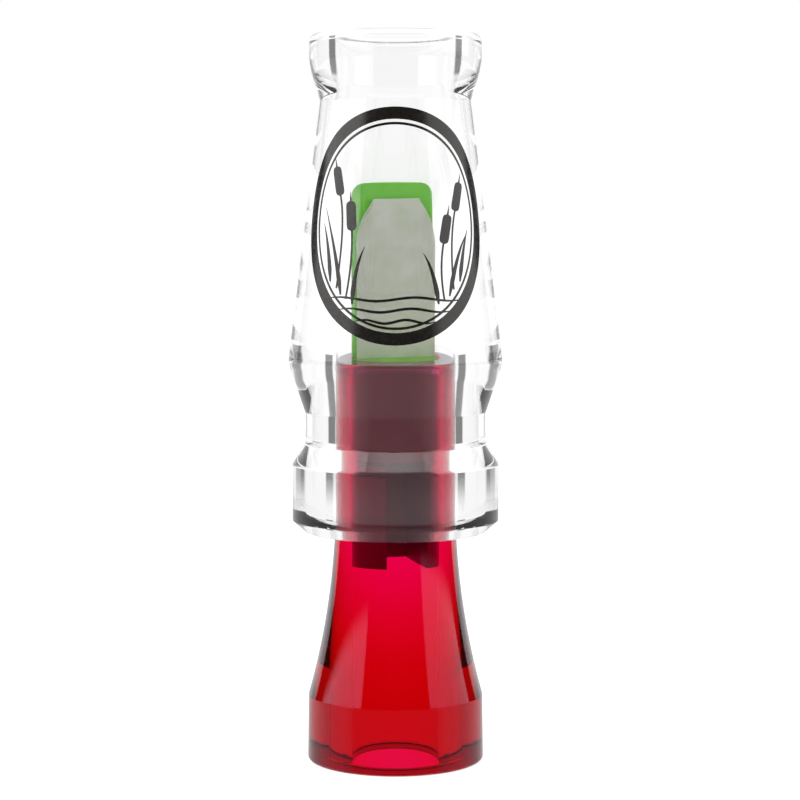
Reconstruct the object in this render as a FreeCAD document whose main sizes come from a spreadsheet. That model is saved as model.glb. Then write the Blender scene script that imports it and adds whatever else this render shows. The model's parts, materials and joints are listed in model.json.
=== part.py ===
import FreeCAD, Part
import Sketcher
import math
import os

# Duck call, millimetres.  +Z runs up the call's axis from the flat end of the bell, and -Y is the
# side the reeds face.  Radii and heights are ordinate sizes: heights count from the bell's end.

sizes = {
    # insert: the stopper that holds the sound board, with the bell turned on its lower half
    "bellFootRadius": 14.00,
    "bellBandRadius": 13.84,
    "bellBandHeight": 10.45,
    "flareRadius": 118.0,
    "waistRadius": 9.62,
    "shoulderHeight": 36.50,
    "tenonRadius": 9.44,
    "tenonTop": 63.50,
    "socketRadius": 7.05,
    "socketBottom": 29.0,
    "exhaustRadius": 7.00,
    "exhaustTop": 20.0,
    "bellFootRound": 0.60,
    "exhaustRound": 0.50,
    "tenonRound": 0.20,
    # barrel: the mouth piece, one straight bore inside a turned outline
    "barrelBoreRadius": 9.525,
    "barrelFootRadius": 14.20,
    "ringRadius": 16.35,
    "ringFoot": 38.30,
    "ringTop": 47.35,
    "grooveRadius": 14.35,
    "grooveBottom": 50.50,
    "grooveTop": 55.55,
    "widestRadius": 17.03,
    "widestHeight": 63.40,
    "neckRadius": 11.84,
    "neckHeight": 104.30,
    "coveRadius": 12.23,
    "coveHeight": 106.0,
    "lipRadius": 13.52,
    "lipHeight": 110.80,
    "lipCurve": 16.0,
    "mouthTop": 114.80,
    "ringFootRound": 0.30,
    "ringTopRound": 0.80,
    "widestRound": 4.20,
    "lipRound": 1.40,
    "mouthRound": 0.60,
    # sound board: a round plug with an open tone channel, and a half-round blade above it
    "boardRadius": 7.00,
    "boardBottom": 31.30,
    "seatHeight": 46.0,
    "seatDepth": 1.00,
    "bendHeight": 64.0,
    "tipDepth": 1.90,
    "tipHeight": 90.70,
    "bladeCurve": 410.0,
    "tipRound": 1.90,
    "channelSide": 2.90,
    "channelLeft": -2.90,
    "channelRound": 3.00,
    "channelDepth": 4.20,
    "channelTop": 83.50,
    # reeds: two strips of film laid a little to the right, the upper one shorter
    "reedThickness": 0.36,
    "reedTail": 46.60,
    "reedLeft": -6.10,
    "reedRight": 6.90,
    "clipLeft": -4.95,
    "clipRight": 5.75,
    "tipLeft": -3.30,
    "tipRight": 4.10,
    "clipCurve": 9.0,
    "lowerTip": 88.25,
    "lowerClip": 85.75,
    "lowerSide": 81.15,
    "upperTip": 87.65,
    "upperClip": 85.15,
    "upperSide": 80.55,
    # wedge: a D-shaped block that clamps the reeds in the socket
    "wedgeRadius": 7.00,
    "wedgeBottom": 46.50,
    "wedgeTop": 63.30,
    # how the sound board is turned in the insert, and the gap between faces that only rest together
    "assemblyTurn": 14.5,
    "filmGap": 0.01,
    # the datum, and places safely outside the sound board that its cuts start from
    "datum": 0.0,
    "clearInFront": -8.0,
    "clearAbove": 95.0,
    "clearToRight": 8.0,
    "clearBelow": 30.0,
}

doc = FreeCAD.newDocument("duck_call")


def makeSheet():
    """Write the sizes into a spreadsheet, one named cell each."""
    sheet = doc.addObject("Spreadsheet::Sheet", "Sizes")
    for row, (name, value) in enumerate(sizes.items(), start=1):
        sheet.set(f"A{row}", name)
        sheet.set(f"B{row}", str(value))
        sheet.setAlias(f"B{row}", name)
    doc.recompute()


def originPlane(body, role):
    """The body's own origin plane, such as XZ_Plane."""
    return next(f for f in body.Origin.OriginFeatures if f.Role == role)


def makeBody(name, turned=False):
    """A named body; the sound board's pieces are turned about the axis as they are assembled."""
    body = doc.addObject("PartDesign::Body", name)
    body.Label = name
    if turned:
        turn = FreeCAD.Rotation(FreeCAD.Vector(0, 0, 1), sizes["assemblyTurn"])
        body.Placement = FreeCAD.Placement(FreeCAD.Vector(0, 0, 0), turn)
    return body


def makeSketch(body, name, role, offset=None):
    """A sketch on one of the body's origin planes, raised from it by an expression if one is given."""
    sketch = body.newObject("Sketcher::SketchObject", name)
    sketch.AttachmentSupport = (originPlane(body, role), [""])
    sketch.MapMode = "FlatFace"
    if offset:
        sketch.setExpression("AttachmentOffset.Base.z", offset)
    return sketch


def pin(sketch, index, end, corner):
    """Hold one end of a line or arc at its named distances from the sketch's origin."""
    for kind, name in zip(("DistanceX", "DistanceY"), corner):
        number = sketch.addConstraint(Sketcher.Constraint(kind, -1, 1, index, end, sizes[name]))
        sketch.setExpression(f"Constraints[{number}]", f"Sizes.{name}")


def arcThrough(start, end, radius, bulge):
    """The short arc of this radius between two points, bulging left (+1) or right (-1) of the way."""
    chord = end - start
    middle = (start + end) * 0.5
    left = FreeCAD.Vector(-chord.y, chord.x, 0).normalize()
    rise = radius - math.sqrt(radius**2 - (chord.Length / 2) ** 2)
    return Part.Arc(start, middle + left * (rise * bulge), end)


def outline(sketch, corners, arcs=None):
    """Draw a closed outline of named corners.  arcs gives {corner number: (radius name, bulge)}."""
    arcs = arcs or {}
    count = len(corners)
    points = [FreeCAD.Vector(sizes[across], sizes[up], 0) for across, up in corners]
    for i, start in enumerate(points):
        end = points[(i + 1) % count]
        if i in arcs:
            name, bulge = arcs[i]
            shape = arcThrough(start, end, sizes[name], bulge)
        else:
            shape = Part.LineSegment(start, end)
        sketch.addGeometry(shape, False)
    ends = [endNumbers(sketch, i, points[i]) for i in range(count)]
    for i in range(count):
        following = (i + 1) % count
        sketch.addConstraint(
            Sketcher.Constraint("Coincident", i, ends[i][1], following, ends[following][0])
        )
        pin(sketch, i, ends[i][0], corners[i])
    for i, (name, _) in arcs.items():
        number = sketch.addConstraint(Sketcher.Constraint("Radius", i, sizes[name]))
        sketch.setExpression(f"Constraints[{number}]", f"Sizes.{name}")


def endNumbers(sketch, index, start):
    """Which of a geometry's two ends (1 or 2) starts the outline here; arcs may run the other way."""
    first = sketch.getPoint(index, 1)
    return (1, 2) if first.distanceToPoint(start) < 1e-6 else (2, 1)


def revolve(body, name, sketch):
    """Turn a sketch a full circle about the vertical axis."""
    turned = body.newObject("PartDesign::Revolution", name)
    turned.Profile = sketch
    turned.ReferenceAxis = (sketch, ["V_Axis"])
    turned.Angle = 360
    doc.recompute()
    return turned


def pad(body, name, sketch, length):
    """Pad a sketch along its normal by an expression."""
    raised = body.newObject("PartDesign::Pad", name)
    raised.Profile = sketch
    raised.setExpression("Length", length)
    doc.recompute()
    return raised


def pocket(body, name, sketch, length=None, flipped=False, midplane=False):
    """Cut a sketch out of the body, and check that the cut took something away."""
    before = body.Shape.Volume
    cut = body.newObject("PartDesign::Pocket", name)
    cut.Profile = sketch
    cut.Reversed = flipped
    cut.Midplane = midplane
    if length:
        cut.setExpression("Length", length)
    else:
        cut.Type = "ThroughAll"
    doc.recompute()
    if cut.Shape.Volume > before - 1:
        raise RuntimeError(f"{name} cut nothing")
    return cut


def fillet(body, name, base, rings):
    """Round circular edges, named as (radius, height, round) cells, one fillet for each size."""
    for step, (radius, height, size) in enumerate(rings):
        edges = [
            f"Edge{n}"
            for n, edge in enumerate(base.Shape.Edges, start=1)
            if isRing(edge, sizes[radius], sizes[height])
        ]
        if not edges:
            raise RuntimeError(f"{name} found no edge at {radius}, {height}")
        rounded = body.newObject("PartDesign::Fillet", f"{name}{step}")
        rounded.Base = (base, edges)
        rounded.setExpression("Radius", f"Sizes.{size}")
        doc.recompute()
        base = rounded
    return base


def isRing(edge, radius, height):
    """Whether an edge is part of the level circle of this radius and height about the axis."""
    if not isinstance(edge.Curve, Part.Circle):
        return False
    return abs(edge.Curve.Radius - radius) < 1e-4 and abs(edge.CenterOfMass.z - height) < 1e-4


def makeInsert():
    """The stopper: a bell with a sharp-edged band and a hollow flare, and a tenon above a shoulder."""
    body = makeBody("insert")
    sketch = makeSketch(body, "insert_outline", "XZ_Plane")
    corners = [
        ("exhaustRadius", "datum"),
        ("bellFootRadius", "datum"),
        ("bellBandRadius", "bellBandHeight"),
        ("waistRadius", "shoulderHeight"),
        ("tenonRadius", "shoulderHeight"),
        ("tenonRadius", "tenonTop"),
        ("socketRadius", "tenonTop"),
        ("socketRadius", "socketBottom"),
        ("exhaustRadius", "exhaustTop"),
    ]
    outline(sketch, corners, {2: ("flareRadius", 1)})
    turned = revolve(body, "insert_turned", sketch)
    rings = [
        ("bellFootRadius", "datum", "bellFootRound"),
        ("exhaustRadius", "datum", "exhaustRound"),
        ("tenonRadius", "tenonTop", "tenonRound"),
    ]
    fillet(body, "insert_round", turned, rings)
    return body


def makeBarrel():
    """The mouth piece: end ring, lanyard groove, cone, long taper to the neck, and flared lip."""
    body = makeBody("barrel")
    sketch = makeSketch(body, "barrel_outline", "XZ_Plane")
    corners = [
        ("barrelBoreRadius", "shoulderHeight"),
        ("barrelFootRadius", "shoulderHeight"),
        ("ringRadius", "ringFoot"),
        ("ringRadius", "ringTop"),
        ("grooveRadius", "grooveBottom"),
        ("grooveRadius", "grooveTop"),
        ("widestRadius", "widestHeight"),
        ("neckRadius", "neckHeight"),
        ("coveRadius", "coveHeight"),
        ("lipRadius", "lipHeight"),
        ("lipRadius", "mouthTop"),
        ("barrelBoreRadius", "mouthTop"),
    ]
    outline(sketch, corners, {8: ("lipCurve", -1)})
    turned = revolve(body, "barrel_turned", sketch)
    rings = [
        ("barrelFootRadius", "shoulderHeight", "ringFootRound"),
        ("ringRadius", "ringFoot", "ringFootRound"),
        ("ringRadius", "ringTop", "ringTopRound"),
        ("widestRadius", "widestHeight", "widestRound"),
        ("lipRadius", "mouthTop", "lipRound"),
        ("barrelBoreRadius", "mouthTop", "mouthRound"),
    ]
    fillet(body, "barrel_round", turned, rings)
    return body


def circleSketch(body, name, radius, offset):
    """A full circle about the axis, at a height."""
    sketch = makeSketch(body, name, "XY_Plane", offset)
    centre = FreeCAD.Vector(0, 0, 0)
    sketch.addGeometry(Part.Circle(centre, FreeCAD.Vector(0, 0, 1), sizes[radius]), False)
    sketch.addConstraint(Sketcher.Constraint("Coincident", 0, 3, -1, 1))
    number = sketch.addConstraint(Sketcher.Constraint("Radius", 0, sizes[radius]))
    sketch.setExpression(f"Constraints[{number}]", f"Sizes.{radius}")
    return sketch


def makeBoard():
    """The sound board: round plug, half-round blade whose face falls away to the tip, tone channel."""
    body = makeBody("tone_board", turned=True)
    blank = circleSketch(body, "board_circle", "boardRadius", "Sizes.boardBottom")
    pad(body, "board_blank", blank, "Sizes.tipHeight - Sizes.boardBottom")

    side = makeSketch(body, "board_side", "YZ_Plane")
    front = [
        ("clearInFront", "seatHeight"),
        ("seatDepth", "seatHeight"),
        ("seatDepth", "bendHeight"),
        ("tipDepth", "tipHeight"),
        ("tipDepth", "clearAbove"),
        ("clearInFront", "clearAbove"),
    ]
    outline(side, front, {2: ("bladeCurve", 1)})
    blade = pocket(body, "board_face", side, midplane=True)
    fillet(body, "board_round", blade, [("boardRadius", "tipHeight", "tipRound")])

    cutChannel(body, "board_channel", "Sizes.channelDepth", backward=True)
    cutChannel(body, "board_mouth", "-Sizes.clearInFront", backward=False)
    return body


def cutChannel(body, name, depth, backward):
    """One half of the tone channel, cut backward from the axis or forward through the plug."""
    sketch = makeSketch(body, f"{name}_slot", "XZ_Plane")
    corners = [
        ("channelLeft", "clearBelow"),
        ("channelSide", "clearBelow"),
        ("channelSide", "channelTop"),
        ("channelLeft", "channelTop"),
    ]
    outline(sketch, corners, {2: ("channelRound", -1)})
    pocket(body, name, sketch, depth, flipped=not backward)


def makeReed(name, size, behind):
    """A strip of film with a clipped and rounded tip, whose rear face lies this far behind the axis."""
    body = makeBody(name, turned=True)
    sketch = makeSketch(body, f"{name}_outline", "XZ_Plane", f"-({behind})")
    corners = [
        ("reedLeft", "reedTail"),
        ("reedRight", "reedTail"),
        ("reedRight", f"{size}Side"),
        ("clipRight", f"{size}Clip"),
        ("tipRight", f"{size}Tip"),
        ("tipLeft", f"{size}Tip"),
        ("clipLeft", f"{size}Clip"),
        ("reedLeft", f"{size}Side"),
    ]
    outline(sketch, corners, {2: ("clipCurve", -1), 6: ("clipCurve", -1)})
    pad(body, f"{name}_film", sketch, "Sizes.reedThickness")
    return body


def makeWedge(behind):
    """The D-shaped block that clamps the reeds, its flat face this far behind the axis."""
    body = makeBody("wedge", turned=True)
    blank = circleSketch(body, "wedge_circle", "wedgeRadius", "Sizes.wedgeBottom")
    pad(body, "wedge_blank", blank, "Sizes.wedgeTop - Sizes.wedgeBottom")
    sketch = makeSketch(body, "wedge_flat_cut", "XZ_Plane", f"-({behind})")
    corners = [
        ("clearInFront", "clearBelow"),
        ("clearToRight", "clearBelow"),
        ("clearToRight", "clearAbove"),
        ("clearInFront", "clearAbove"),
    ]
    outline(sketch, corners)
    pocket(body, "wedge_flat", sketch)
    return body


def checkDocument():
    """Stop on any object that failed, or any body whose shape is missing or not valid."""
    for item in doc.Objects:
        if "Invalid" in item.State or "Error" in item.State:
            raise RuntimeError(f"{item.Name} is {item.State}")
    for body in bodies:
        if body.Shape.isNull() or not body.Shape.isValid() or len(body.Shape.Solids) != 1:
            raise RuntimeError(f"{body.Label} is not one valid solid")


makeSheet()
lowerBack = "Sizes.seatDepth - Sizes.filmGap"
upperBack = f"{lowerBack} - Sizes.reedThickness - Sizes.filmGap"
wedgeBack = f"{upperBack} - Sizes.reedThickness - Sizes.filmGap"
bodies = [
    makeInsert(),
    makeBarrel(),
    makeBoard(),
    makeReed("lower_reed", "lower", lowerBack),
    makeReed("upper_reed", "upper", upperBack),
    makeWedge(wedgeBack),
]
doc.recompute()
checkDocument()
os.makedirs("parts", exist_ok=True)
for body in bodies:
    body.Shape.exportStep(f"parts/{body.Label}.step")
    print(f"{body.Label}: {body.Shape.Volume:.1f} mm3")
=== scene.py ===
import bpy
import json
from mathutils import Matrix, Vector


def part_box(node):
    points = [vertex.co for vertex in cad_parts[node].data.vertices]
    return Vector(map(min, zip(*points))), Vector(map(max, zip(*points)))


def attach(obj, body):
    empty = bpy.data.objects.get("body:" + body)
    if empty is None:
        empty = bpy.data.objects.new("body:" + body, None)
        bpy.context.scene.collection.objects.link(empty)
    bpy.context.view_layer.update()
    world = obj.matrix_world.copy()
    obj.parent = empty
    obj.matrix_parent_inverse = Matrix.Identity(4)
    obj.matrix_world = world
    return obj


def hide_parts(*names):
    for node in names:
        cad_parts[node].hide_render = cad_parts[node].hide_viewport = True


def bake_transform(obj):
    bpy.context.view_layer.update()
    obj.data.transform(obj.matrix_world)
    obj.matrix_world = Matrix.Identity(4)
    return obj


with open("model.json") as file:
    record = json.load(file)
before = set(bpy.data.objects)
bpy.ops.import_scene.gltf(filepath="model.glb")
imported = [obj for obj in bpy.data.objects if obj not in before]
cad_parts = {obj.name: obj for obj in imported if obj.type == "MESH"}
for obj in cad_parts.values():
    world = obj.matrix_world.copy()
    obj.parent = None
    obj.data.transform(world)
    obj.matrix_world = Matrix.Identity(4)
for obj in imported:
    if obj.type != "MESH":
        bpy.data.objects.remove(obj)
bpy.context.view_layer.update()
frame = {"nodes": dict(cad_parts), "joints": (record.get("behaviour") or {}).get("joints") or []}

import bmesh
import bpy
import json
import numpy as np
from math import atan2, cos, pi, radians, sin, tan

# Duck call. Shapes are worked out in millimetres above the insert's foot, the frame's origin, and
# turned into metres as each mesh is made.

mm = 0.001
barrelFoot, barrelMouth = (corner[2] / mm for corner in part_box("barrel"))
boardFoot, boardTip = (corner[2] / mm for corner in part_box("tone_board"))
wedgeFoot, wedgeTop = (corner[2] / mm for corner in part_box("wedge"))
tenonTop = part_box("insert")[1][2] / mm
reedAxis = next(j["axis"] for j in frame["joints"] if j["name"] == "lower_reed_flex")
reedTurn = atan2(-reedAxis[1], -reedAxis[0])
print("frame loaded:", ", ".join(frame["nodes"]))


# meshes

def gridQuads(rows, columns, closedAcross=True, closedAlong=False):
    # the quads of a grid of points in row order; a closed way joins its last row or column to the first
    r, c = np.meshgrid(
        np.arange(rows if closedAlong else rows - 1),
        np.arange(columns if closedAcross else columns - 1),
        indexing="ij",
    )
    nextR = (r + 1) % rows
    nextC = (c + 1) % columns
    corners = [r * columns + c, r * columns + nextC, nextR * columns + nextC, nextR * columns + c]
    return np.stack(corners, -1).reshape(-1, 4)


def linkObject(name, mesh):
    piece = bpy.data.objects.new(name, mesh)
    bpy.context.scene.collection.objects.link(piece)
    return piece


def finishPiece(piece, material, body=None, node=None):
    # body is left out for a piece that lies between two bodies and is attached to neither
    piece.data.materials.append(material)
    if body:
        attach(piece, body)
    if node:
        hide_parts(node)


def roundedOutline(corners, steps=6):
    # corners are (radius, height, round), counter-clockwise. A round above zero becomes an arc tangent to
    # both sides; zero marks a point of a sampled curve. Gives the points and the outward normals.
    corners = np.array(corners, float)
    points, normals = [], []
    for i, (radius, height, size) in enumerate(corners):
        here = np.array([radius, height])
        before = here - corners[i - 1, :2]
        after = corners[(i + 1) % len(corners), :2] - here
        before /= np.linalg.norm(before)
        after /= np.linalg.norm(after)
        turn = atan2(before[0] * after[1] - before[1] * after[0], float(before @ after))
        outBefore = np.array([before[1], -before[0]])
        outAfter = np.array([after[1], -after[0]])
        if size == 0 or abs(turn) < 1e-4:
            middle = outBefore + outAfter
            points.append(here)
            normals.append(middle / np.linalg.norm(middle))
            continue
        way = np.sign(turn)
        centre = here - before * size * tan(abs(turn) / 2) - outBefore * size * way
        angle = np.linspace(0, turn, steps)
        x, y = outBefore * way
        out = np.stack([x * np.cos(angle) - y * np.sin(angle), x * np.sin(angle) + y * np.cos(angle)], -1)
        points.extend(centre + out * size)
        normals.extend(out * way)
    return np.array(points), np.array(normals)


def arcPoints(start, end, radius, bulge, count):
    # points inside an arc of this radius between two outline points, bulging right (+1) or left (-1)
    start = np.array(start, float)
    end = np.array(end, float)
    chord = end - start
    length = np.linalg.norm(chord)
    side = np.array([chord[1], -chord[0]]) / length * bulge
    centre = (start + end) / 2 - side * np.sqrt(radius**2 - length**2 / 4)
    first, last = (atan2(*(p - centre)[::-1]) for p in (start, end))
    sweep = (last - first + pi) % (2 * pi) - pi
    angle = first + sweep * np.linspace(0, 1, count + 2)[1:-1]
    return [(centre[0] + radius * cos(a), centre[1] + radius * sin(a), 0) for a in angle]


def turnedMesh(name, corners, around=720):
    # a solid of revolution: outline point (radius, height) at angle a is (radius cos a, radius sin a, height)
    outline, out = roundedOutline(corners)
    angle = np.linspace(0, 2 * pi, around, endpoint=False)
    ring = np.stack([np.cos(angle), np.sin(angle)], -1)
    points = np.empty((len(outline), around, 3))
    points[..., :2] = outline[:, None, :1] * ring
    points[..., 2] = outline[:, None, 1]
    normals = np.empty_like(points)
    normals[..., :2] = out[:, None, :1] * ring
    normals[..., 2] = out[:, None, 1]
    quads = gridQuads(len(outline), around, closedAlong=True)
    mesh = bpy.data.meshes.new(name)
    mesh.from_pydata((points * mm).reshape(-1, 3).tolist(), [], quads.tolist())
    mesh.polygons.foreach_set("use_smooth", np.ones(len(quads), bool))
    mesh.normals_split_custom_set_from_vertices(normals.reshape(-1, 3).tolist())
    mesh.update()
    return mesh


def loftedPiece(name, sections, softEdge):
    # a loft through closed sections of (across, behind, height), capped at both ends and turned to the
    # reeds' side. Quads that shrink to nothing at a pole are left out, and sharp edges are softened.
    points = np.array(sections, float) * mm
    turn = np.array([[cos(reedTurn), sin(reedTurn)], [-sin(reedTurn), cos(reedTurn)]])
    points[..., :2] = points[..., :2] @ turn
    rows, columns = points.shape[:2]
    points = points.reshape(-1, 3)
    quads = gridQuads(rows, columns)
    a, b, c, d = (points[quads[:, k]] for k in range(4))
    area = np.linalg.norm(np.cross(c - a, d - b), axis=1)
    quads = quads[area > 1e-13]
    caps = [list(range(columns))[::-1], list(range((rows - 1) * columns, rows * columns))]
    mesh = bpy.data.meshes.new(name)
    mesh.from_pydata(points.tolist(), [], quads.tolist() + caps)
    work = bmesh.new()
    work.from_mesh(mesh)
    bmesh.ops.remove_doubles(work, verts=work.verts, dist=1e-7)
    work.to_mesh(mesh)
    work.free()
    mesh.polygons.foreach_set("use_smooth", np.ones(len(mesh.polygons), bool))
    mesh.update()
    piece = linkObject(name, mesh)
    soften = piece.modifiers.new("softEdges", "BEVEL")
    soften.width = softEdge * mm
    soften.segments = 3
    soften.limit_method = "ANGLE"
    soften.angle_limit = radians(35)
    soften.harden_normals = True
    return piece


# shader helpers and the node groups that several materials share

def newMaterial(name):
    material = bpy.data.materials.new(name)
    material.use_nodes = True
    tree = material.node_tree
    return material, tree, tree.nodes["Principled BSDF"]


def addNode(tree, kind, inputs=None, **settings):
    # inputs maps a socket's name or number to a value, or to another node's output
    node = tree.nodes.new(kind)
    for key, value in settings.items():
        setattr(node, key, value)
    for key, value in (inputs or {}).items():
        if isinstance(value, bpy.types.NodeSocket):
            tree.links.new(value, node.inputs[key])
        else:
            node.inputs[key].default_value = value
    return node


def calculate(tree, operation, *values):
    inputs = dict(enumerate(values))
    return addNode(tree, "ShaderNodeMath", inputs, operation=operation).outputs[0]


def objectPlace(tree):
    return addNode(tree, "ShaderNodeTexCoord").outputs["Object"]


def noise(tree, place, scale, detail):
    node = addNode(tree, "ShaderNodeTexNoise", {"Vector": place, "Scale": scale, "Detail": detail})
    return node.outputs["Fac"]


def mapValue(tree, value, low, high, toLow, toHigh, smooth=False):
    limits = {"Value": value, "From Min": low, "From Max": high, "To Min": toLow, "To Max": toHigh}
    style = "SMOOTHSTEP" if smooth else "LINEAR"
    return addNode(tree, "ShaderNodeMapRange", limits, interpolation_type=style).outputs["Result"]


def mixColour(tree, factor, first, second):
    inputs = {"Factor": factor, "A": (*first, 1), "B": (*second, 1)}
    return addNode(tree, "ShaderNodeMix", inputs, data_type="RGBA").outputs["Result"]


def addBump(tree, shader, height, strength, distance):
    inputs = {"Height": height, "Strength": strength, "Distance": distance * mm}
    bump = addNode(tree, "ShaderNodeBump", inputs)
    tree.links.new(bump.outputs["Normal"], shader.inputs["Normal"])


def newGroup(name, inputs, outputs):
    # inputs is {name: default} and outputs is a list of names, all of them plain numbers
    tree = bpy.data.node_groups.new(name, "ShaderNodeTree")
    for label, default in inputs.items():
        socket = tree.interface.new_socket(label, in_out="INPUT", socket_type="NodeSocketFloat")
        socket.default_value = default
    for label in outputs:
        tree.interface.new_socket(label, in_out="OUTPUT", socket_type="NodeSocketFloat")
    return tree, tree.nodes.new("NodeGroupInput").outputs, tree.nodes.new("NodeGroupOutput").inputs


def useGroup(tree, group, inputs):
    return addNode(tree, "ShaderNodeGroup", inputs, node_tree=group).outputs


def makeTurningGroup():
    # fine rings left by the lathe tool: noise that changes quickly along z and not at all around it
    tree, given, out = newGroup("turningMarks", {"Spacing": 4000.0}, ["Height"])
    split = addNode(tree, "ShaderNodeSeparateXYZ", {0: objectPlace(tree)})
    along = calculate(tree, "MULTIPLY", split.outputs["Z"], given["Spacing"])
    place = addNode(tree, "ShaderNodeCombineXYZ", {"Z": along}).outputs[0]
    tree.links.new(noise(tree, place, 1.0, 3.0), out["Height"])
    return tree


def makeScratchGroup():
    # hairline scratches: two stretched noises, each kept where it crosses its own middle, in worn patches
    tree, given, out = newGroup("hairScratches", {"Scale": 900.0, "Width": 0.012}, ["Mask"])
    where = objectPlace(tree)
    masks = []
    for turn, stretch in (((0.3, 0.8, 0.2), (1.0, 0.06, 0.35)), ((1.2, 0.1, 0.9), (0.05, 1.0, 0.4))):
        place = addNode(tree, "ShaderNodeMapping", {"Vector": where, "Rotation": turn, "Scale": stretch})
        level = noise(tree, place.outputs[0], given["Scale"], 1.0)
        offMiddle = calculate(tree, "ABSOLUTE", calculate(tree, "SUBTRACT", level, 0.5))
        masks.append(calculate(tree, "LESS_THAN", offMiddle, given["Width"]))
    worn = calculate(tree, "GREATER_THAN", noise(tree, where, 160.0, 2.0), 0.58)
    either = calculate(tree, "MAXIMUM", *masks)
    tree.links.new(calculate(tree, "MULTIPLY", either, worn), out["Mask"])
    return tree


def makeGrainGroup():
    # moulded plastic: a fine satin grain over slow, shallow ripples
    tree, given, out = newGroup("mouldGrain", {"Grain": 6000.0, "Ripple": 350.0}, ["Height", "Shade"])
    where = objectPlace(tree)
    fine = noise(tree, where, given["Grain"], 2.0)
    slow = noise(tree, where, given["Ripple"], 2.0)
    total = calculate(tree, "ADD", calculate(tree, "MULTIPLY", fine, 0.25), slow)
    tree.links.new(total, out["Height"])
    tree.links.new(slow, out["Shade"])
    return tree


turningMarks = makeTurningGroup()
hairScratches = makeScratchGroup()
mouldGrain = makeGrainGroup()


# clear acrylic: polished glass-like plastic with faint tool rings and a few hairline scratches

clearAcrylic = {
    "ior": 1.49, "ringSpacing": 9000.0, "ringStrength": 0.006, "ringDepth": 0.02,
    "scratchScale": 700.0, "scratchWidth": 0.006, "scratchRough": 0.12,
}


def makeClearAcrylic(s):
    material, tree, shader = newMaterial("clearAcrylic")
    shader.inputs["Base Color"].default_value = (1, 1, 1, 1)
    shader.inputs["Transmission Weight"].default_value = 1.0
    shader.inputs["IOR"].default_value = s["ior"]
    scratches = useGroup(tree, hairScratches, {"Scale": s["scratchScale"], "Width": s["scratchWidth"]})
    rough = mapValue(tree, scratches["Mask"], 0, 1, 0.0, s["scratchRough"])
    tree.links.new(rough, shader.inputs["Roughness"])
    marks = useGroup(tree, turningMarks, {"Spacing": s["ringSpacing"]})
    addBump(tree, shader, marks["Height"], s["ringStrength"], s["ringDepth"])
    return material


# red acrylic: the dye is an absorbing volume. The bell is polished, the tenon keeps a hazy lathe finish,
# and the bell's flat end is left dull from the parting tool, with its colour darkened as painted shade

redAcrylic = {
    "ior": 1.49, "tint": (1.0, 0.85, 0.9), "glint": (0.55, 0.33, 0.55),
    "dyePerMetre": 1500.0, "dyeKept": (0.970, 0.0, 0.707),
    # the flat end's darker colour is painted shade: the shadowed table under the bell
    "tenonRough": 0.2, "endRough": 0.45, "endPaintedShade": (0.35, 0.2, 0.2), "endHeight": (0.1, 0.4),
    "scratchScale": 700.0, "scratchWidth": 0.004, "scratchRough": 0.03,
    "ringSpacing": 5000.0, "ringStrength": 0.03, "ringDepth": 0.02,
}


def makeRedAcrylic(s):
    material, tree, shader = newMaterial("redAcrylic")
    shader.inputs["Specular Tint"].default_value = (*s["glint"], 1)
    shader.inputs["Transmission Weight"].default_value = 1.0
    shader.inputs["IOR"].default_value = s["ior"]
    dye = addNode(tree, "ShaderNodeVolumeAbsorption")
    dye.inputs["Color"].default_value = (*s["dyeKept"], 1)
    dye.inputs["Density"].default_value = s["dyePerMetre"]
    tree.links.new(dye.outputs[0], tree.nodes["Material Output"].inputs["Volume"])

    height = addNode(tree, "ShaderNodeSeparateXYZ", {0: objectPlace(tree)}).outputs["Z"]
    tenonRough = mapValue(tree, height, (barrelFoot - 0.1) * mm, (barrelFoot + 0.3) * mm, 0, s["tenonRough"])
    scratches = useGroup(tree, hairScratches, {"Scale": s["scratchScale"], "Width": s["scratchWidth"]})
    worn = mapValue(tree, scratches["Mask"], 0, 1, 0.0, s["scratchRough"])
    polished = calculate(tree, "ADD", tenonRough, worn)
    flatEnd = mapValue(tree, height, s["endHeight"][0] * mm, s["endHeight"][1] * mm, 1, 0)
    rough = calculate(tree, "MULTIPLY_ADD", flatEnd, s["endRough"], polished)
    tree.links.new(rough, shader.inputs["Roughness"])
    # painted shade: the flat end's colour turns dark for the shadowed table beneath the bell
    tree.links.new(mixColour(tree, flatEnd, s["tint"], s["endPaintedShade"]), shader.inputs["Base Color"])
    marks = useGroup(tree, turningMarks, {"Spacing": s["ringSpacing"]})
    addBump(tree, shader, marks["Height"], s["ringStrength"], s["ringDepth"])
    return material


# green plastic of the board and the wedge: satin, a little uneven in colour and gloss

greenBoard = {"dark": (0.17, 0.72, 0.03), "light": (0.22, 0.78, 0.05), "rough": 0.38}
greenWedge = {"dark": (0.18, 0.56, 0.01), "light": (0.22, 0.62, 0.02), "rough": 0.5}


def makeMouldedGreen(name, s):
    material, tree, shader = newMaterial(name)
    grain = useGroup(tree, mouldGrain, {"Grain": 7000.0, "Ripple": 300.0})
    shade = mapValue(tree, grain["Shade"], 0.3, 0.7, 0, 1)
    tree.links.new(mixColour(tree, shade, s["dark"], s["light"]), shader.inputs["Base Color"])
    rough = mapValue(tree, grain["Height"], 0.3, 0.9, s["rough"] - 0.06, s["rough"] + 0.08)
    tree.links.new(rough, shader.inputs["Roughness"])
    addBump(tree, shader, grain["Height"], 0.25, 0.03)
    return material


# reed film: frosted, cloudy and slightly see-through, with fine brushing along its length

reedFilm = {
    "dark": (0.88, 0.95, 0.76), "light": (0.94, 0.98, 0.86), "cloudScale": 260.0, "streakScale": 9000.0,
    "streakStretch": 0.03, "rough": (0.34, 0.46), "cover": (0.74, 0.84),
}


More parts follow.
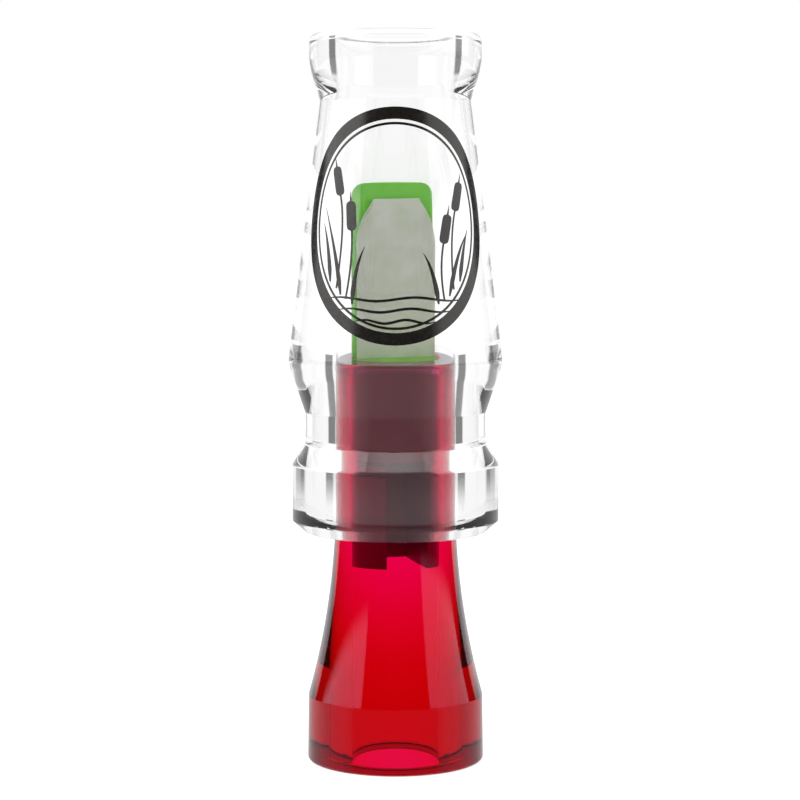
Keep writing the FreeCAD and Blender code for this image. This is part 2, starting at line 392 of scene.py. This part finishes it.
def makeReedFilm(s):
    material, tree, shader = newMaterial("reedFilm")
    where = objectPlace(tree)
    brushed = addNode(tree, "ShaderNodeMapping", {"Vector": where, "Scale": (1.0, 1.0, s["streakStretch"])})
    streaks = noise(tree, brushed.outputs[0], s["streakScale"], 3.0)
    cloud = noise(tree, where, s["cloudScale"], 3.0)
    shade = mapValue(tree, cloud, 0.35, 0.65, 0, 1)
    tree.links.new(mixColour(tree, shade, s["dark"], s["light"]), shader.inputs["Base Color"])
    tree.links.new(mapValue(tree, streaks, 0.3, 0.7, *s["rough"]), shader.inputs["Roughness"])
    tree.links.new(mapValue(tree, cloud, 0.3, 0.7, *s["cover"]), shader.inputs["Alpha"])
    addBump(tree, shader, streaks, 0.15, 0.01)
    return material


# ink of the badge: nearly black, a little uneven in gloss

printInk = {"dark": (0.006, 0.005, 0.004), "light": (0.016, 0.013, 0.011), "rough": (0.18, 0.3)}


def makeInk(s):
    material, tree, shader = newMaterial("printInk")
    patchy = noise(tree, objectPlace(tree), 1500.0, 3.0)
    tree.links.new(mixColour(tree, patchy, s["dark"], s["light"]), shader.inputs["Base Color"])
    tree.links.new(mapValue(tree, patchy, 0.3, 0.7, *s["rough"]), shader.inputs["Roughness"])
    addBump(tree, shader, patchy, 0.1, 0.01)
    return material


clearMaterial = makeClearAcrylic(clearAcrylic)
redMaterial = makeRedAcrylic(redAcrylic)
boardMaterial = makeMouldedGreen("greenBoard", greenBoard)
wedgeMaterial = makeMouldedGreen("greenWedge", greenWedge)
reedMaterial = makeReedFilm(reedFilm)
inkMaterial = makeInk(printInk)
print("materials made")


# insert: the bell, its band and flare, and the tenon above the shoulder with the socket inside

insert = {
    "footRadius": 14.0, "footRound": 0.6, "bandRadius": 13.84, "bandHeight": 10.45, "bandRound": 0.08,
    "flareCurve": 118.0, "waistRadius": 9.62, "waistRound": 0.05, "tenonRadius": 9.44, "shoulderRound": 0.03,
    "tenonRound": 0.2, "socketRadius": 7.05, "socketRound": 0.15, "socketBottom": 29.0,
    "exhaustRadius": 7.0, "exhaustTop": 20.0, "exhaustRound": 0.5,
}


def makeInsert(s):
    band = (s["bandRadius"], s["bandHeight"])
    waist = (s["waistRadius"], barrelFoot)
    flare = arcPoints(band, waist, s["flareCurve"], -1, 20)
    corners = [
        (s["exhaustRadius"], 0, s["exhaustRound"]),
        (s["footRadius"], 0, s["footRound"]),
        (*band, s["bandRound"]),
        *flare,
        (*waist, s["waistRound"]),
        (s["tenonRadius"], barrelFoot, s["shoulderRound"]),
        (s["tenonRadius"], tenonTop, s["tenonRound"]),
        (s["socketRadius"], tenonTop, s["socketRound"]),
        (s["socketRadius"], s["socketBottom"], 0),
        (s["exhaustRadius"], s["exhaustTop"], 0),
    ]
    piece = linkObject("insertShell", turnedMesh("insertShell", corners))
    finishPiece(piece, redMaterial, "insert", "insert")


makeInsert(insert)
print("insert made")


# barrel: end ring, lanyard groove, cone, long taper to the neck, and flared lip round a straight bore

barrel = {
    "bore": 9.525, "boreRound": 0.06, "foot": 14.2, "footRound": 0.3,
    "ringFoot": (16.35, 38.3, 0.3), "ringTop": (16.35, 47.35, 0.8),
    "grooveBottom": (14.35, 50.5, 0.5), "grooveTop": (14.35, 55.55, 0.12),
    "widest": (17.03, 63.4, 4.2), "neck": (11.84, 104.3, 0.25), "cove": (12.23, 106.0),
    "lip": (13.52, 110.8), "lipCurve": 16.0, "lipRound": 1.4, "mouthRound": 0.6,
}


def makeBarrel(s):
    flare = arcPoints(s["cove"], s["lip"], s["lipCurve"], 1, 12)
    corners = [
        (s["bore"], barrelFoot, s["boreRound"]),
        (s["foot"], barrelFoot, s["footRound"]),
        s["ringFoot"],
        s["ringTop"],
        s["grooveBottom"],
        s["grooveTop"],
        s["widest"],
        s["neck"],
        (*s["cove"], 0),
        *flare,
        (*s["lip"], 0),
        (s["lip"][0], barrelMouth, s["lipRound"]),
        (s["bore"], barrelMouth, s["mouthRound"]),
    ]
    piece = linkObject("barrelShell", turnedMesh("barrelShell", corners))
    finishPiece(piece, clearMaterial, "barrel", "barrel")


makeBarrel(barrel)
print("barrel made")


# tone board: a round plug with an open channel, then a half-round blade whose face falls away to the tip.
# Depths are how far a face lies behind the axis, away from the reeds.

board = {
    "radius": 7.0, "seat": 46.0, "faceDepth": 1.0, "bend": 64.0, "tipDepth": 1.9, "bladeCurve": 410.0,
    "tipRound": 1.9, "channelHalf": 2.9, "channelRound": 3.0, "channelDepth": 4.2, "channelTop": 83.5,
    "softEdge": 0.12,
}


def boardFace(z, s):
    # depth of the blade's face: level up to the bend, then a straight fall to the tip, less a bow of
    # along (1 - along) chord^2 / (2 curve) towards the reeds
    rise = boardTip - s["bend"]
    fall = s["tipDepth"] - s["faceDepth"]
    along = np.clip((z - s["bend"]) / rise, 0, 1)
    bow = along * (1 - along) * (rise**2 + fall**2) / (2 * s["bladeCurve"])
    return float(s["faceDepth"] + fall * along - bow)


def boardSection(z, isPlug, half, floor, s):
    # one closed section, (radius cos a, radius sin a) round the back, then along the front to the
    # channel of this half width, down to its floor, across, and the same way back on the other side
    radius = s["radius"]
    past = z - boardTip + s["tipRound"]
    if past > 0:
        radius += np.sqrt(max(s["tipRound"]**2 - past**2, 0)) - s["tipRound"]
    face = boardFace(z, s)
    edge = np.arcsin(face / radius)
    rear = np.linspace(edge, pi - edge, 65)
    back = np.stack([radius * np.cos(rear), radius * np.sin(rear)], -1)
    if isPlug:
        side = np.linspace(pi - edge, pi + np.arccos(half / radius), 15)[1:]
        left = np.stack([radius * np.cos(side), radius * np.sin(side)], -1)
    else:
        left = np.stack([np.linspace(-radius * cos(edge), -half, 15)[1:], np.full(14, face)], -1)
    down = np.stack([np.full(5, -half), np.linspace(left[-1, 1], floor, 6)[1:]], -1)
    across = np.stack([np.linspace(-half, half, 7)[1:], np.full(6, floor)], -1)
    right = np.concatenate([left, down])[::-1] * (-1, 1)
    section = np.concatenate([back, left, down, across, right[1:]])
    return np.column_stack([section, np.full(len(section), z)])


def makeBoard(s):
    half, floor, tipFoot = s["channelHalf"], s["channelDepth"], boardTip - s["tipRound"]
    endCentre = s["channelTop"] - np.sqrt(s["channelRound"]**2 - half**2)
    endStart = np.arccos(half / s["channelRound"])
    rows = [(z, True, half, floor) for z in np.linspace(boardFoot, s["seat"], 8)]
    rows += [(z, False, half, floor) for z in np.linspace(s["seat"], s["bend"], 8)]
    rows += [(z, False, half, floor) for z in np.linspace(s["bend"], s["channelTop"], 16)[1:]]
    for a in np.linspace(endStart, pi / 2, 12)[1:]:
        rows.append((endCentre + s["channelRound"] * sin(a), False, s["channelRound"] * cos(a), floor))
    solid = list(np.linspace(endCentre + s["channelRound"], tipFoot, 6))
    solid += [tipFoot + s["tipRound"] * sin(a) for a in np.linspace(0, pi / 2, 10)[1:]]
    rows += [(z, False, 0.0, boardFace(z, s)) for z in solid]
    sections = [boardSection(*row, s) for row in rows]
    piece = loftedPiece("toneBoard", sections, s["softEdge"])
    finishPiece(piece, boardMaterial, "tone_board", "tone_board")


makeBoard(board)
print("tone board made")


# wedge: the D-shaped block that holds the reeds down on the board's flat

wedge = {"radius": 7.0, "flatDepth": 0.25, "softEdge": 0.15}


def makeWedge(s):
    # each section is (radius cos a, radius sin a) round the front, then straight across the flat
    edge = np.arcsin(s["flatDepth"] / s["radius"])
    front = np.linspace(pi - edge, 2 * pi + edge, 97)
    arc = np.stack([s["radius"] * np.cos(front), s["radius"] * np.sin(front)], -1)
    flat = np.linspace(arc[-1, 0], arc[0, 0], 25)[1:-1]
    section = np.concatenate([arc, np.column_stack([flat, np.full(len(flat), s["flatDepth"])])])
    heights = np.linspace(wedgeFoot, wedgeTop, 8)
    sections = [np.column_stack([section, np.full(len(section), z)]) for z in heights]
    piece = loftedPiece("wedgeBlock", sections, s["softEdge"])
    finishPiece(piece, wedgeMaterial, "wedge", "wedge")


makeWedge(wedge)
print("wedge made")


# reeds: two strips of frosted film with clipped tips

reed = {
    "thick": 0.36, "clipBelow": 2.5, "sideBelow": 7.1, "clipCurve": 9.0, "softEdge": 0.05, "bendLength": 14.0,
    "left": {"side": -6.1, "clip": -4.95, "tip": -3.3}, "right": {"side": 6.9, "clip": 5.75, "tip": 4.1},
    "backDepths": {"lower": 0.99, "upper": 0.62},
}


def reedEdge(z, tip, way, s):
    # one long edge: straight, then a shallow arc in from the side to the clipped corner, as a chord
    # plus along (1 - along) chord^2 / (2 curve), then a straight line in to the tip
    sideAt = tip - s["sideBelow"]
    clipAt = tip - s["clipBelow"]
    chordSquared = (way["clip"] - way["side"])**2 + (clipAt - sideAt)**2
    along = np.clip((z - sideAt) / (clipAt - sideAt), 0, 1)
    bow = np.sign(way["side"]) * along * (1 - along) * chordSquared / (2 * s["clipCurve"])
    onArc = way["side"] + (way["clip"] - way["side"]) * along + bow
    onEnd = way["clip"] + (way["tip"] - way["clip"]) * (z - clipAt) / (tip - clipAt)
    return np.where(z > clipAt, onEnd, onArc)


def makeReed(name, s):
    # each section is a thin strip: across the front from left to right, then back along the rear
    node = name + "_reed"
    tail, tip = (corner[2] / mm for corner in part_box(node))
    sideAt = tip - s["sideBelow"]
    z = np.concatenate([np.linspace(tail, sideAt, 50), np.linspace(sideAt, tip, 26)[1:]])
    left = reedEdge(z, tip, s["left"], s)
    right = reedEdge(z, tip, s["right"], s)
    x = left[:, None] + (right - left)[:, None] * np.linspace(0, 1, 17)
    y = np.full_like(x, s["backDepths"][name] - s["thick"])
    front = np.stack([x, y, np.broadcast_to(z[:, None], x.shape)], -1)
    rear = front[:, ::-1] + (0, s["thick"], 0)
    piece = loftedPiece(name + "Reed", np.concatenate([front, rear], 1), s["softEdge"])
    finishPiece(piece, reedMaterial, node=node)
    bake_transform(piece)


for reedName in reed["backDepths"]:
    makeReed(reedName, reed)
print("reeds made")


# badge: a printed oval ring with cattails standing in water, wrapped onto the barrel's long taper.
# Places are (across, up) from the badge's centre, measured along the surface.

badge = {
    "centre": 84.9, "halfWidth": 16.2, "halfHeight": 18.2, "line": 1.9, "innerLine": 0.4, "innerGap": 0.65,
    "inkFoot": 0.004, "inkTop": 0.024,
    "stalks": [
        ((-9.6, -9.6), (-8.6, -1.0), (-9.0, 4.8)), ((-7.9, -11.2), (-7.0, -5.5), (-6.9, -0.6)),
        ((9.5, -9.8), (9.2, -3.0), (9.9, 2.4)), ((7.8, -11.4), (7.3, -6.8), (7.7, -2.6)),
    ],
    "leaves": [
        ((-10.8, -8.6), (-11.4, -3.4), (-12.4, 0.4)), ((-8.8, -10.6), (-10.0, -4.0), (-12.0, 2.8)),
        ((-6.8, -12.0), (-6.1, -7.0), (-4.7, -3.2)), ((10.7, -8.6), (11.5, -4.0), (12.5, -0.6)),
        ((8.7, -10.8), (10.3, -5.0), (12.2, -1.4)), ((6.8, -12.0), (5.8, -7.4), (4.3, -4.2)),
    ],
    "water": [(-11.8, 11.8, -11.2), (-9.6, 9.6, -12.9), (-6.4, 6.4, -14.6)],  # left end, right end, level
    "stalkWidth": 0.34, "headWidth": 1.7, "headLength": 4.6, "headOverlap": 0.2, "spikeLength": 1.5,
    "leafWidth": 0.95, "waterWidth": 0.42, "waveHeight": 0.28,
}


def wrapOnBarrel(flat, depth):
    # across becomes the angle across / radius and up runs along the taper; depth is outside its surface
    low, high = barrel["widest"], barrel["neck"]
    slope = (high[0] - low[0]) / (high[1] - low[1])
    z = badge["centre"] + flat[..., 1] * cos(atan2(abs(slope), 1))
    radius = low[0] + slope * (z - low[1])
    angle = flat[..., 0] / radius
    return np.stack([(radius + depth) * np.sin(angle), -(radius + depth) * np.cos(angle), z], -1) * mm


def inkStroke(line, width, isClosed=False):
    # a flat ribbon along line, with this width at each of its points, as a thin closed slab of ink
    if isClosed:
        along = np.roll(line, -1, 0) - np.roll(line, 1, 0)
    else:
        along = np.gradient(line, axis=0)
    along /= np.linalg.norm(along, axis=1)[:, None]
    side = np.stack([along[:, 1], -along[:, 0]], -1) * width[:, None] / 2
    flat = line[:, None] + side[:, None] * np.linspace(-1, 1, 5)[:, None]
    outer = wrapOnBarrel(flat, badge["inkTop"])
    inner = wrapOnBarrel(flat[:, ::-1], badge["inkFoot"])
    return np.concatenate([outer, inner], 1), isClosed


def bentLine(ends, t):
    # the quadratic curve through three points, the middle one at t = 1/2
    a, b, c = (np.array(point, float) for point in ends)
    t = t[:, None]
    return (1 - t)**2 * a + 2 * t * (1 - t) * (2 * b - (a + c) / 2) + t**2 * c


def badgeStrokes(s):
    strokes = []
    angle = np.linspace(0, 2 * pi, 240, endpoint=False)
    rings = [(s["line"] / 2, s["line"]), (s["line"] + s["innerGap"], s["innerLine"])]
    for inset, width in rings:
        across = (s["halfWidth"] - inset) * np.cos(angle)
        up = (s["halfHeight"] - inset) * np.sin(angle)
        strokes.append(inkStroke(np.stack([across, up], -1), np.full(len(angle), width), True))
    t = np.linspace(0, 1, 25)
    steps = t[:, None]
    for ends in s["stalks"]:
        stalk = bentLine(ends, t)
        strokes.append(inkStroke(stalk, np.full(len(t), s["stalkWidth"])))
        way = (stalk[-1] - stalk[-4]) / np.linalg.norm(stalk[-1] - stalk[-4])
        head = stalk[-1] + way * (steps * s["headLength"] - s["headOverlap"])
        strokes.append(inkStroke(head, s["headWidth"] * np.sqrt(1 - 0.97 * (2 * t - 1)**8)))
        spike = head[-1] + way * steps * s["spikeLength"]
        strokes.append(inkStroke(spike, s["stalkWidth"] * (1.05 - t)))
    for ends in s["leaves"]:
        taper = (1.03 - t)**0.8 * np.minimum(1, 0.3 + 4 * t)
        strokes.append(inkStroke(bentLine(ends, t), s["leafWidth"] * taper))
    for left, right, level in s["water"]:
        wave = np.stack([left + (right - left) * t, level + s["waveHeight"] * np.sin(t * 4 * pi)], -1)
        strokes.append(inkStroke(wave, s["waterWidth"] * (1 - 0.9 * (2 * t - 1)**4)))
    return strokes


def makeBadge(s):
    points, faces, first = [], [], 0
    for grid, isClosed in badgeStrokes(s):
        rows, columns = grid.shape[:2]
        faces += (first + gridQuads(rows, columns, closedAlong=isClosed)).tolist()
        if not isClosed:
            last = first + (rows - 1) * columns
            faces.append(list(range(first, first + columns))[::-1])
            faces.append(list(range(last, last + columns)))
        points.append(grid.reshape(-1, 3))
        first += rows * columns
    mesh = bpy.data.meshes.new("badgeInk")
    mesh.from_pydata(np.concatenate(points).tolist(), [], faces)
    mesh.update()
    finishPiece(linkObject("badgeInk", mesh), inkMaterial, "barrel")


makeBadge(badge)
print("badge made")


# studio: a pale floor, the camera, and a white room. Glass mirrors the room in front of it and shows the
# room behind it bent out of place, so what the two see is set apart.

floorPlane = {"size": 6.0, "colour": 0.35, "glow": 0.8, "rough": 0.8}
cameraPlace = {"distance": 377.0, "height": 86.53, "sideways": 0.71, "pitch": 4.43, "lens": 107.5}
tableEdge = -6.6  # how high the table's far edge lies as the call sees it, in degrees

room = {
    # each light is its strength, where it stands as degrees round from the camera (from, to, fade), and
    # how high it is in degrees (from, to, fade); dim is what is left where no light stands
    "mirrored": [
        (1.1, (131, 200, 4), (tableEdge, 95, 1)),
        (3.0, (-10, 131, 4), (55, 95, 8)),
        (0.28, (-10, 60, 20), (-95, tableEdge, 1)),
        (0.8, (60, 200, 20), (-95, tableEdge, 1)),
    ],
    "mirroredDim": 0.02,
    "through": [
        (0.76, (47, 113, 3), (tableEdge, 55, 2)),
        (0.80, (131, 200, 4), (tableEdge, 95, 1)),
        (1.6, (-10, 131, 4), (55, 95, 8)),
        (0.55, (-10, 47, 3), (tableEdge, 55, 1)),
        (0.72, (-10, 200, 20), (-45, tableEdge, 1)),
        # the table straight below the call is dimmer: painted shadow of the call on the table
        (0.5, (-10, 200, 20), (-95, -45, 1)),
        (0.6, (113, 131, 3), (22, 55, 4)),
        (0.18, (60, 200, 20), (-45, -7.5, 2)),
    ],
    "throughDim": 0.2,
    # the soft boxes that the glass mirrors: the left one is brighter, and starts higher above the table
    "boxTurn": (47, 113, 3), "boxRise": (0, 60, 4), "boxLift": 6.0, "leftBox": 2.5, "rightBox": 1.8,
}


def makeFloor(s):
    half = s["size"] / 2
    mesh = bpy.data.meshes.new("floor")
    corners = [(-half, -half, 0), (half, -half, 0), (half, half, 0), (-half, half, 0)]
    mesh.from_pydata(corners, [], [(0, 1, 2, 3)])
    piece = linkObject("floor", mesh)
    material, tree, shader = newMaterial("paleFloor")
    shader.inputs["Base Color"].default_value = (s["colour"], s["colour"], s["colour"], 1)
    shader.inputs["Roughness"].default_value = s["rough"]
    shader.inputs["Specular IOR Level"].default_value = 0.0
    shader.inputs["Emission Color"].default_value = (1, 1, 1, 1)
    shader.inputs["Emission Strength"].default_value = s["glow"]
    mesh.materials.append(material)
    piece.visible_glossy = False
    piece.visible_transmission = False
    piece.visible_diffuse = False


def band(tree, value, low, high, fade):
    # 1 between low and high, fading over this many degrees at each end
    rise = mapValue(tree, value, low - fade / 2, low + fade / 2, 0, 1, True)
    fall = mapValue(tree, value, high - fade / 2, high + fade / 2, 1, 0, True)
    return calculate(tree, "MULTIPLY", rise, fall)


def addLight(tree, total, strength, aside, turns, height, rises):
    level = calculate(tree, "MULTIPLY", band(tree, aside, *turns), strength)
    level = calculate(tree, "MULTIPLY", band(tree, height, *rises), level)
    return calculate(tree, "ADD", level, total)


def makeRoom(s):
    world = bpy.data.worlds.new("studio")
    world.use_nodes = True
    bpy.context.scene.world = world
    tree = world.node_tree
    direction = addNode(tree, "ShaderNodeTexCoord").outputs["Generated"]
    x, y, z = addNode(tree, "ShaderNodeSeparateXYZ", {0: direction}).outputs
    turn = calculate(tree, "ARCTAN2", x, calculate(tree, "MULTIPLY", y, -1.0))
    turn = calculate(tree, "MULTIPLY", turn, 180 / pi)
    aside = calculate(tree, "ABSOLUTE", turn)
    height = calculate(tree, "MULTIPLY", calculate(tree, "ARCSINE", z), 180 / pi)

    lift = mapValue(tree, turn, -20, 20, s["boxLift"], 0)
    boxHeight = calculate(tree, "SUBTRACT", height, lift)
    boxes = mapValue(tree, turn, -20, 20, s["leftBox"], s["rightBox"])
    mirrored = addLight(tree, s["mirroredDim"], boxes, aside, s["boxTurn"], boxHeight, s["boxRise"])
    for strength, turns, rises in s["mirrored"]:
        mirrored = addLight(tree, mirrored, strength, aside, turns, height, rises)
    through = s["throughDim"]
    for strength, turns, rises in s["through"]:
        through = addLight(tree, through, strength, aside, turns, height, rises)

    paths = addNode(tree, "ShaderNodeLightPath").outputs
    level = mirrored
    for path, seen in (("Is Transmission Ray", through), ("Is Camera Ray", 1.0), ("Is Diffuse Ray", 1.0)):
        mix = addNode(tree, "ShaderNodeMix", {"Factor": paths[path], "A": level, "B": seen})
        level = mix.outputs["Result"]
    background = tree.nodes["Background"]
    background.inputs["Color"].default_value = (1, 1, 1, 1)
    tree.links.new(level, background.inputs["Strength"])


def makeCamera(s):
    data = bpy.data.cameras.new("camera")
    data.lens = s["lens"]
    camera = bpy.data.objects.new("camera", data)
    camera.location = (s["sideways"] * mm, -s["distance"] * mm, s["height"] * mm)
    camera.rotation_euler = (radians(90 - s["pitch"]), 0, 0)
    bpy.context.scene.collection.objects.link(camera)
    bpy.context.scene.camera = camera


makeFloor(floorPlane)
makeRoom(room)
makeCamera(cameraPlace)
scene = bpy.context.scene
scene.view_settings.view_transform = "Standard"
scene.cycles.max_bounces = 24
scene.cycles.transmission_bounces = 24
scene.cycles.transparent_max_bounces = 24
scene.cycles.glossy_bounces = 8
scene.cycles.caustics_reflective = True
scene.cycles.caustics_refractive = True
print("studio made")
